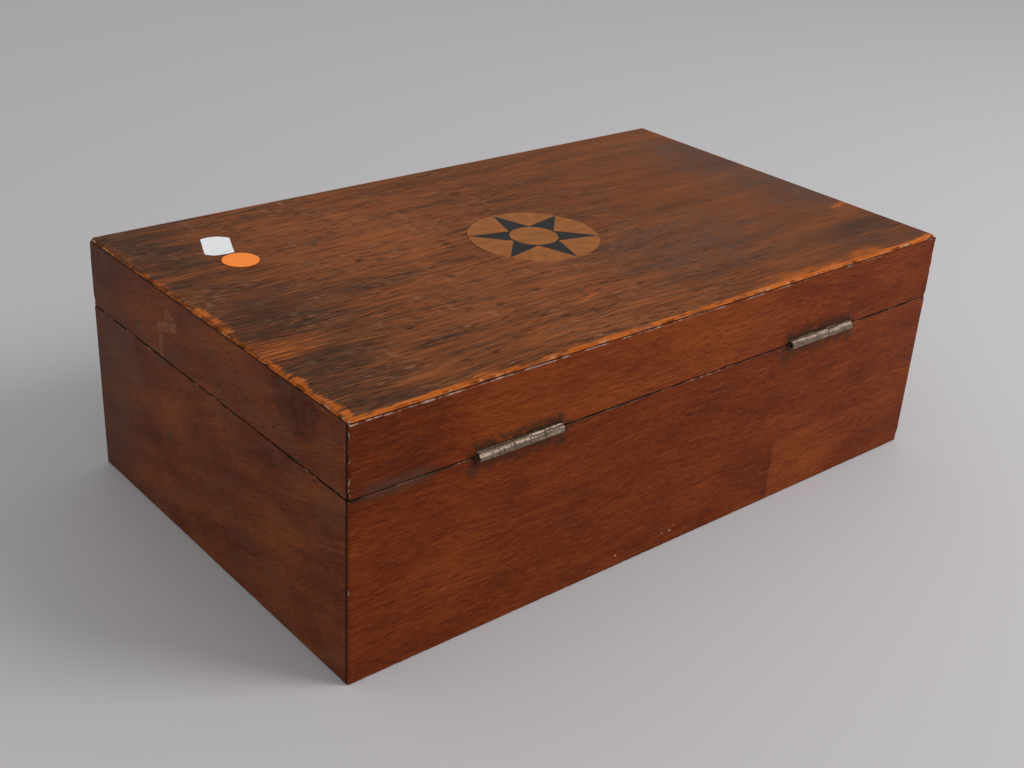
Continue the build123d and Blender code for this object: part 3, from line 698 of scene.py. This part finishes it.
def all_bites():
    """Every bite in the veneers, in one fixed order, because they share one dice."""
    dice = Random(11)
    right, back, top, seam = HALF_LENGTH, HALF_DEPTH, HEIGHT, TOP_SEAM
    found = []

    # Upright corners: the open joint, chips, and the points of the lid and case.
    for x in (1, -1):
        for y in (1, -1):
            busy = 1.0 if (x, y) == (1, 1) else 0.55
            foot = (x * right, y * (back - 1.0))
            found += seam_bites(
                dice, (*foot, 1), (*foot, seam - 0.6), (x, 0, 0), 9, (0.35, 0.6), (0.2, 0.4), 0.1, 1 - busy
            )
            found += edge_bites(
                dice, (x * right, y * back, 2), (x * right, y * back, top - 3), (x, y, 0), SIDE_ROUND,
                int(14 * busy), (1.2, 5.0), (0.8, 1.8), (0.15, 0.45),
            )
            point, rim = (x * right, y * back, top), (x * right, y * back, PARTING + 0.5 * x)
            found.append(bite(point, (x, y, 1), (x, -y, 0), 4.5, 4.0, 0.5, TOP_ROUND * 1.2))
            found.append(bite(rim, (x, y, 0), UP, 2.0, 5.0, 0.55, SIDE_ROUND))
    for x, y in ((-1, 1), (1, -1)):
        point, below = (x * right, y * back, top), (x * right, y * back, top - 4.5)
        found.append(bite(point, (x, y, 0.8), (1, 1, 0), 15, 11, 0.75, TOP_ROUND * 1.3))
        found.append(bite(below, (x, y, 0), UP, 7, 4.0, 0.4, SIDE_ROUND))
        found.append(bite((x * (right - 4), y * back, top), (0, y, 1), ALONG, 8, 4.0, 0.45, TOP_ROUND))
    for x, y, z, out, size in CORNER_CHIPS:
        found.append(bite((x * right, y * back, z), out, UP, *size, SIDE_ROUND))

    # Long edges: the broken lip and the crack under the lid top, then top, foot and parting edges.
    for y, full in ((1, 1.0), (-1, 0.5)):
        split = -20 if y > 0 else 60
        for start, end, step, width, depth, wander, skip in (
            (right - 1, split, 5.5, (0.7, 1.15), (0.25, 0.5), 0.12, 0.12),
            (split, 2 - right, 8, (0.5, 0.9), (0.2, 0.4), 0.12, 0.7),
        ):
            lip = [(at, y * back, seam - 0.45) for at in (start, end)]
            found += seam_bites(dice, *lip, (0, y, 0), step, width, depth, wander, skip)
        crack = [(at, y * (back - 0.16), seam) for at in (right - 1, 2 - right)]
        found += seam_bites(dice, *crack, (0, y, 0), 11, (0.18, 0.32), (0.3, 0.5), 0.05, 0.1)
        for z, out_z, rounding, count, length, width, depth in (
            (top, 1, TOP_ROUND, 34, (4, 18), (1.0, 2.6), (0.12, 0.4)),
            (0, -1, BASE_ROUND, 40, (1.2, 5.0), (0.9, 1.8), (0.15, 0.4)),
            (PARTING, 0, 0.0, 22, (3, 12), (0.7, 1.3), (0.15, 0.45)),
        ):
            found += edge_bites(
                dice, (3 - right, y * back, z), (right - 3, y * back, z), (0, y, out_z), rounding,
                int(count * full), length, width, depth,
            )

    # Short edges: top, foot and parting edges, then the crack under the lid top.
    for x, full in ((1, 1.0), (-1, 0.6)):
        for z, out_z, rounding, count, length, width, depth in (
            (top, 1, TOP_ROUND, 40, (2, 10), (1.0, 2.8), (0.15, 0.45)),
            (0, -1, BASE_ROUND, 26, (1.2, 5.0), (0.9, 1.8), (0.15, 0.45)),
            (PARTING, 0, 0.0, 20, (3, 10), (0.9, 1.6), (0.2, 0.5)),
        ):
            found += edge_bites(
                dice, (x * right, 3 - back, z), (x * right, back - 3, z), (x, 0, out_z), rounding,
                int(count * full), length, width, depth,
            )
        crack = [(x * (right - 0.16), at, seam) for at in (2 - back, back - 2)]
        found += seam_bites(dice, *crack, (x, 0, 0), 10, (0.16, 0.26), (0.2, 0.4), 0.05, 0.45)

    # Faces: pits, splits along the grain, and the open joint at one side of the inlay.
    for x, z, size in BACK_PITS:
        found.append(bite((x, back, z), (0, 1, 0), (1, 0, 0.2), size, 0.7 * size, 0.22))
    for x, y, size in TOP_PITS:
        found.append(bite((x, y, top), UP, (1, 0.1, 0), size, 0.7 * size, 0.2))
    for y in SPLITS_AT:
        found.append(bite((right - 7, y, top), UP, (1, 0.02, 0), dice.uniform(9, 17), 0.28, 0.3))
    for i in range(9):
        angle = radians(-36 + 6.2 * i)
        at = (INLAY_EDGE * cos(angle), INLAY_EDGE * sin(angle), top)
        found.append(bite(at, UP, (-sin(angle), cos(angle), 0), 4.2, 0.42, 0.35))
    return found


def barrel_bites(node):
    """Flats hammered along the knuckles of one hinge leaf."""
    low, high = mm_box(node)
    own = (0, 2, 4) if "lid" in node else (1, 3)
    dice = Random(len(node) + own[0])
    half = HALF_BARREL - END_KNUCKLE
    edges = [-HALF_BARREL, -half, -half / 3, half / 3, half, HALF_BARREL]
    middle = (low.x + high.x) / 2
    found = []
    for i in own:
        at, width = middle + (edges[i] + edges[i + 1]) / 2, edges[i + 1] - edges[i]
        first = dice.uniform(-12, 12)
        for angle in (96, 46, -2, -52):
            turn = radians(angle + first + dice.uniform(-8, 8))
            out = Vector((0, cos(turn), sin(turn)))
            place = HINGE_AXIS + out * BARREL_RADIUS
            along = Vector((1, dice.uniform(-0.03, 0.03), dice.uniform(-0.03, 0.03)))
            wide, deep = dice.uniform(2.0, 2.6), dice.uniform(0.2, 0.4)
            found.append(bite((at, place.y, place.z), out, along, width * 1.7, wide, deep))
    return found


def spans(lens):
    """Lowest and highest corner of a bite."""
    centre, axes, size = lens
    reach = Vector([sqrt(sum((axes[j][i] * size[j]) ** 2 for j in range(3))) + 0.1 for i in range(3)])
    return centre - reach, centre + reach


def sorted_apart(bites):
    """Groups of bites, with none in a group that touches another of it."""
    groups = []
    for lens in bites:
        low, high = spans(lens)
        for group in groups:
            if not any(all(low[i] < b[i] and a[i] < high[i] for i in range(3)) for _, a, b in group):
                group.append((lens, low, high))
                break
        else:
            groups.append([(lens, low, high)])
    return [[lens for lens, _, _ in group] for group in groups]


def cutter_of(bites):
    """One mesh of a group of bites."""
    deselect()
    bpy.ops.object.add(type="MESH", location=(0, 0, 0))
    cutter = named("bites")
    bpy.ops.object.mode_set(mode="EDIT")
    for centre, axes, size in bites:
        turn = Matrix(axes).transposed().to_euler()
        bpy.ops.mesh.primitive_ico_sphere_add(
            subdivisions=2, radius=1, location=centre * MM, rotation=turn, scale=Vector(size) * MM
        )
    bpy.ops.mesh.select_all(action="SELECT")
    bpy.ops.transform.vertex_random(offset=ROUGHNESS, uniform=0.0, normal=0.0, seed=5)
    bpy.ops.object.mode_set(mode="OBJECT")
    return cutter


def is_sound(mesh, low, high):
    """Whether a cut piece is still closed and still reaches all round its box."""
    uses = [0] * len(mesh.edges)
    for loop in mesh.loops:
        uses[loop.edge_index] += 1
    if not uses or any(count != 2 for count in uses):
        return False
    places = [vertex.co / MM for vertex in mesh.vertices]
    return all(
        min(place[i] for place in places) < low[i] + 1 and max(place[i] for place in places) > high[i] - 1
        for i in range(3)
    )


def take_out(piece, bites, low, high):
    """Cuts bites out of a piece.

    Where that would tear it open, they are cut half by half, and one that fails alone is left out.
    """
    before = piece.data.copy()
    cutter = cutter_of(bites)
    pick(piece)
    cut = piece.modifiers.new("bites", "BOOLEAN")
    cut.operation = "DIFFERENCE"
    cut.solver = "EXACT"
    cut.object = cutter
    bpy.ops.object.modifier_apply(modifier=cut.name)
    bpy.data.meshes.remove(cutter.data)
    if is_sound(piece.data, low, high):
        bpy.data.meshes.remove(before)
        return
    torn = piece.data
    piece.data = before
    bpy.data.meshes.remove(torn)
    if len(bites) > 1:
        half = len(bites) // 2
        take_out(piece, bites[:half], low, high)
        take_out(piece, bites[half:], low, high)


def worn_piece(node, body, material, bites):
    """A copy of a CAD node with its bites taken out, which stands for the unworn one."""
    low, high = mm_box(node)
    near = [
        lens for lens in bites
        if all(low[i] - BITE_REACH < lens[0][i] < high[i] + BITE_REACH for i in range(3))
    ]
    piece = bpy.data.objects.new("worn_" + node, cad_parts[node].data.copy())
    bpy.context.collection.objects.link(piece)
    pick(piece)
    bpy.ops.mesh.customdata_custom_splitnormals_clear()
    bpy.ops.object.mode_set(mode="EDIT")
    bpy.ops.mesh.select_all(action="SELECT")
    bpy.ops.mesh.remove_doubles(threshold=1e-6)
    bpy.ops.object.mode_set(mode="OBJECT")
    for group in sorted_apart(near):
        take_out(piece, group, low, high)
    bpy.ops.object.shade_smooth_by_angle(angle=SHARP_FROM)
    piece.data.name = piece.name
    finish_piece(piece, material, body)
    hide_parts(node)


# --- operators -----------------------------------------------------------------------------------
class BOX_OT_lid_top(bpy.types.Operator):
    """Finishes the top of the lid"""

    bl_idname = "inlaid_box.lid_top"
    bl_label = "Lid Top"

    def execute(self, context):
        finish = polished_top(context.scene.box_wood)
        worn_piece("lid_top_veneer", "lid", finish, all_bites())
        return {"FINISHED"}


class BOX_OT_sides(bpy.types.Operator):
    """Finishes the veneered sides of the case and the lid"""

    bl_idname = "inlaid_box.sides"
    bl_label = "Sides"

    def execute(self, context):
        wood = context.scene.box_wood
        long_tints = (wood.back_deep, wood.back_mid, wood.back_warm)
        short_tints = (wood.end_deep, wood.end_mid, wood.end_warm)
        long_finish = side_veneer("long_side_veneer", wood, "x", long_tints)
        short_finish = side_veneer("short_side_veneer", wood, "y", short_tints)
        bites = all_bites()
        for part in ("case", "lid"):
            for sides, finish in ((LONG_SIDES, long_finish), (SHORT_SIDES, short_finish)):
                for side in sides:
                    worn_piece(f"{part}_{side}_veneer", part, finish, bites)
        return {"FINISHED"}


class BOX_OT_carcass(bpy.types.Operator):
    """Finishes the bare boards inside and the bottom"""

    bl_idname = "inlaid_box.carcass"
    bl_label = "Carcass"

    def execute(self, context):
        tint = tuple(context.scene.box_wood.carcass)
        for part in ("case", "lid"):
            for sides, along in ((LONG_SIDES, "x"), (SHORT_SIDES, "y")):
                for side in sides:
                    finish = bare_board(f"{part}_{side}_wood", tint, along, len(part + side))
                    dress([f"{part}_{side}_board"], finish)
        dress(["lid_top_board"], bare_board("lid_board_wood", tint, "x", 31))
        dress(["case_bottom_board"], bare_board("bottom_wood", tint, "x", 47))
        return {"FINISHED"}


class BOX_OT_inlay(bpy.types.Operator):
    """Finishes the pieces of the star inlay"""

    bl_idname = "inlaid_box.inlay"
    bl_label = "Star Inlay"

    def execute(self, context):
        wood = context.scene.box_wood
        for kind, tint, contrast in (("star_field", wood.satinwood, 0.25), ("star_point", wood.ebony, 0.35)):
            for name in nodes_like(kind):
                low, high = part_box(name)
                middle = (low + high) / 2
                turn = atan2(middle.y, middle.x)
                dress([name], inlay_wood(name + "_wood", tint, -turn, contrast))
        centre = shaded(wood.satinwood, 1.0, 1.05, 1.1)
        dress(["star_centre"], inlay_wood("star_centre_wood", centre, radians(20), 0.2))
        return {"FINISHED"}


class BOX_OT_metal(bpy.types.Operator):
    """Finishes the hinges, screws, brads and lock"""

    bl_idname = "inlaid_box.metal"
    bl_label = "Hinges and Lock"

    def execute(self, context):
        fittings = context.scene.box_fittings
        hinge = dull_metal("hinge_sheet", fittings.hinge, fittings.grime, 0.42)
        steel = dull_metal("dull_steel", fittings.steel, fittings.grime, 0.45, 0.7)
        brass = dull_metal("dull_brass", fittings.brass, fittings.grime, 0.4, 0.45)
        rust = dull_metal("rusty_pin", shaded(fittings.steel, 0.25), fittings.grime, 0.6)
        for node in nodes_like("hinge", "leaf"):
            body = "lid" if "lid" in node else "case"
            worn_piece(node, body, hinge, barrel_bites(node))
        dress(nodes_like("screws") + nodes_like("brads") + ["lock_bolt"], steel)
        dress(nodes_like("hinge_pin"), rust)
        dress(["lock_plate", "lock_cap", "link_plate", "keyhole_escutcheon"], brass)
        return {"FINISHED"}


# Places of the stickers on the lid, their thickness and their lift off the wood, in metres.
DOT_AT, LABEL_AT = (0.1127, -0.0386), (0.1131, -0.0558)
LABEL_TURN = radians(-22.4)
PAPER = 0.00008
DOT_LIFT, LABEL_LIFT = 0.00014, 0.00004


class BOX_OT_stickers(bpy.types.Operator):
    """Adds the blank label and the orange dot to the lid"""

    bl_idname = "inlaid_box.stickers"
    bl_label = "Stickers"

    def execute(self, context):
        stickers = context.scene.box_stickers
        top = HEIGHT * MM
        deselect()
        bpy.ops.mesh.primitive_circle_add(
            vertices=72, radius=stickers.disc_radius, fill_type="NGON", location=(*DOT_AT, top + DOT_LIFT)
        )
        dot = named("orange_dot")
        bpy.ops.object.mode_set(mode="EDIT")
        bpy.ops.mesh.inset(thickness=0.0006)
        bpy.ops.transform.translate(value=(0, 0, 0.00003))
        bpy.ops.object.mode_set(mode="OBJECT")
        thicken(dot)
        finish_piece(dot, sticker_paper("dot_paper", stickers.dot), "lid")
        deselect()
        bpy.ops.mesh.primitive_grid_add(x_subdivisions=14, y_subdivisions=16, size=1)
        label = named("white_label")
        label.scale = (stickers.label_short, stickers.label_long, 1)
        settle(label)
        shape_label(label, stickers)
        label.location = (*LABEL_AT, top + LABEL_LIFT)
        label.rotation_euler = (0, 0, LABEL_TURN)
        settle(label)
        thicken(label)
        finish_piece(label, sticker_paper("label_paper", stickers.paper), "lid")
        return {"FINISHED"}


def pick_vertices(piece, wanted):
    """In edit mode, selects the vertices whose place passes the test."""
    bpy.ops.mesh.select_all(action="DESELECT")
    bpy.ops.object.mode_set(mode="OBJECT")
    for vertex in piece.data.vertices:
        vertex.select = bool(wanted(vertex.co))
    bpy.ops.object.mode_set(mode="EDIT")


def shape_label(label, stickers):
    """Bows the label's ends outwards and lifts one corner of it."""
    half_wide, half_long = stickers.label_short / 2, stickers.label_long / 2
    columns = sorted({round(v.co.x, 7) for v in label.data.vertices})
    bpy.ops.object.mode_set(mode="EDIT")
    bpy.ops.mesh.select_mode(type="VERT")
    for column in columns:
        pick_vertices(label, lambda co: abs(co.x - column) < 1e-6)
        bow = 1 + (stickers.label_bow / half_long) * (1 - (column / half_wide) ** 2)
        bpy.ops.transform.resize(value=(1, bow, 1), center_override=(0, 0, 0))
    for reach in range(7):
        edge = 0.0015 + 0.0005 * reach
        pick_vertices(label, lambda co: (co.x + half_wide) + (half_long - co.y) < edge + 0.001)
        bpy.ops.transform.translate(value=(0, 0, 0.00005))
    bpy.ops.object.mode_set(mode="OBJECT")


def thicken(piece):
    """Gives a sticker's sheet the thickness of its paper."""
    settle(piece)
    sheet = piece.modifiers.new("thickness", "SOLIDIFY")
    sheet.thickness = PAPER
    sheet.offset = 1
    bpy.ops.object.modifier_apply(modifier=sheet.name)


class BOX_OT_studio(bpy.types.Operator):
    """Adds the floor, the soft light and the camera"""

    bl_idname = "inlaid_box.studio"
    bl_label = "Studio"

    def execute(self, context):
        studio = context.scene.box_studio
        add_floor(studio)
        add_light(studio)
        add_camera(studio)
        context.scene.view_settings.view_transform = "Standard"
        return {"FINISHED"}


# Where the soft light stands and where it points, in metres.
LIGHT_AT, LIGHT_AIM = Vector((-0.75, 0.85, 0.95)), Vector((0, 0, 0.05))
LIGHT_ACROSS = 0.7
FLOOR_RADIUS = 8.0


def add_floor(studio):
    deselect()
    bpy.ops.mesh.primitive_circle_add(vertices=96, radius=FLOOR_RADIUS, fill_type="NGON", location=(0, 0, 0))
    floor = named("floor")
    f = Finish("pale_floor")
    floor.data.materials.append(f.surface(tuple(studio.floor), 0.75, **{"Specular IOR Level": 0.25}))


def add_light(studio):
    world = bpy.data.worlds.new("soft_room")
    world.use_nodes = True
    background = world.node_tree.nodes["Background"]
    background.inputs["Color"].default_value = (1.0, 1.0, 1.0, 1.0)
    background.inputs["Strength"].default_value = studio.sky
    bpy.context.scene.world = world
    deselect()
    bpy.ops.object.light_add(type="AREA", location=LIGHT_AT)
    lamp = named("key_light")
    lamp.data.shape = "DISK"
    lamp.data.size = LIGHT_ACROSS
    lamp.data.energy = studio.key_power
    lamp.rotation_euler = (LIGHT_AIM - lamp.location).to_track_quat("-Z", "Y").to_euler()


def add_camera(studio):
    az, el = studio.azimuth, studio.elevation
    ahead = Vector((-sin(az) * cos(el), cos(az) * cos(el), -sin(el)))
    right = ahead.cross(Vector((0, 0, 1))).normalized()
    up = right.cross(ahead)
    right, up = (
        right * cos(studio.roll) + up * sin(studio.roll),
        up * cos(studio.roll) - right * sin(studio.roll),
    )
    deselect()
    bpy.ops.object.camera_add()
    camera = named("camera")
    turn = Matrix((right, up, -ahead)).transposed().to_4x4()
    camera.matrix_world = Matrix.Translation(studio.place) @ turn
    camera.data.lens = studio.lens
    camera.data.sensor_width = 36.0
    camera.data.clip_start = 0.01
    bpy.context.scene.camera = camera


class BOX_PT_panel(bpy.types.Panel):
    """Lists what makes up the box"""

    bl_label = "Inlaid Box"
    bl_idname = "BOX_PT_panel"
    bl_space_type = "VIEW_3D"
    bl_region_type = "UI"
    bl_category = "Inlaid Box"

    def draw(self, context):
        for operator in OPERATORS:
            self.layout.operator(operator.bl_idname)
        for group in SETTINGS:
            settings = getattr(context.scene, group)
            column = self.layout.column()
            for name in settings.__annotations__:
                column.prop(settings, name)


OPERATORS = (
    BOX_OT_lid_top,
    BOX_OT_sides,
    BOX_OT_carcass,
    BOX_OT_inlay,
    BOX_OT_metal,
    BOX_OT_stickers,
    BOX_OT_studio,
)
SETTINGS = {
    "box_wood": WoodColours,
    "box_fittings": Fittings,
    "box_stickers": Stickers,
    "box_studio": Studio,
}


def register():
    for kind in (*SETTINGS.values(), *OPERATORS, BOX_PT_panel):
        bpy.utils.register_class(kind)
    for name, kind in SETTINGS.items():
        setattr(bpy.types.Scene, name, bpy.props.PointerProperty(type=kind))


def unregister():
    for name in SETTINGS:
        delattr(bpy.types.Scene, name)
    for kind in (BOX_PT_panel, *reversed(OPERATORS), *reversed(SETTINGS.values())):
        bpy.utils.unregister_class(kind)


def main():
    register()
    for step in OPERATORS:
        group, name = step.bl_idname.split(".")
        getattr(getattr(bpy.ops, group), name)()


if __name__ == "__main__":
    main()
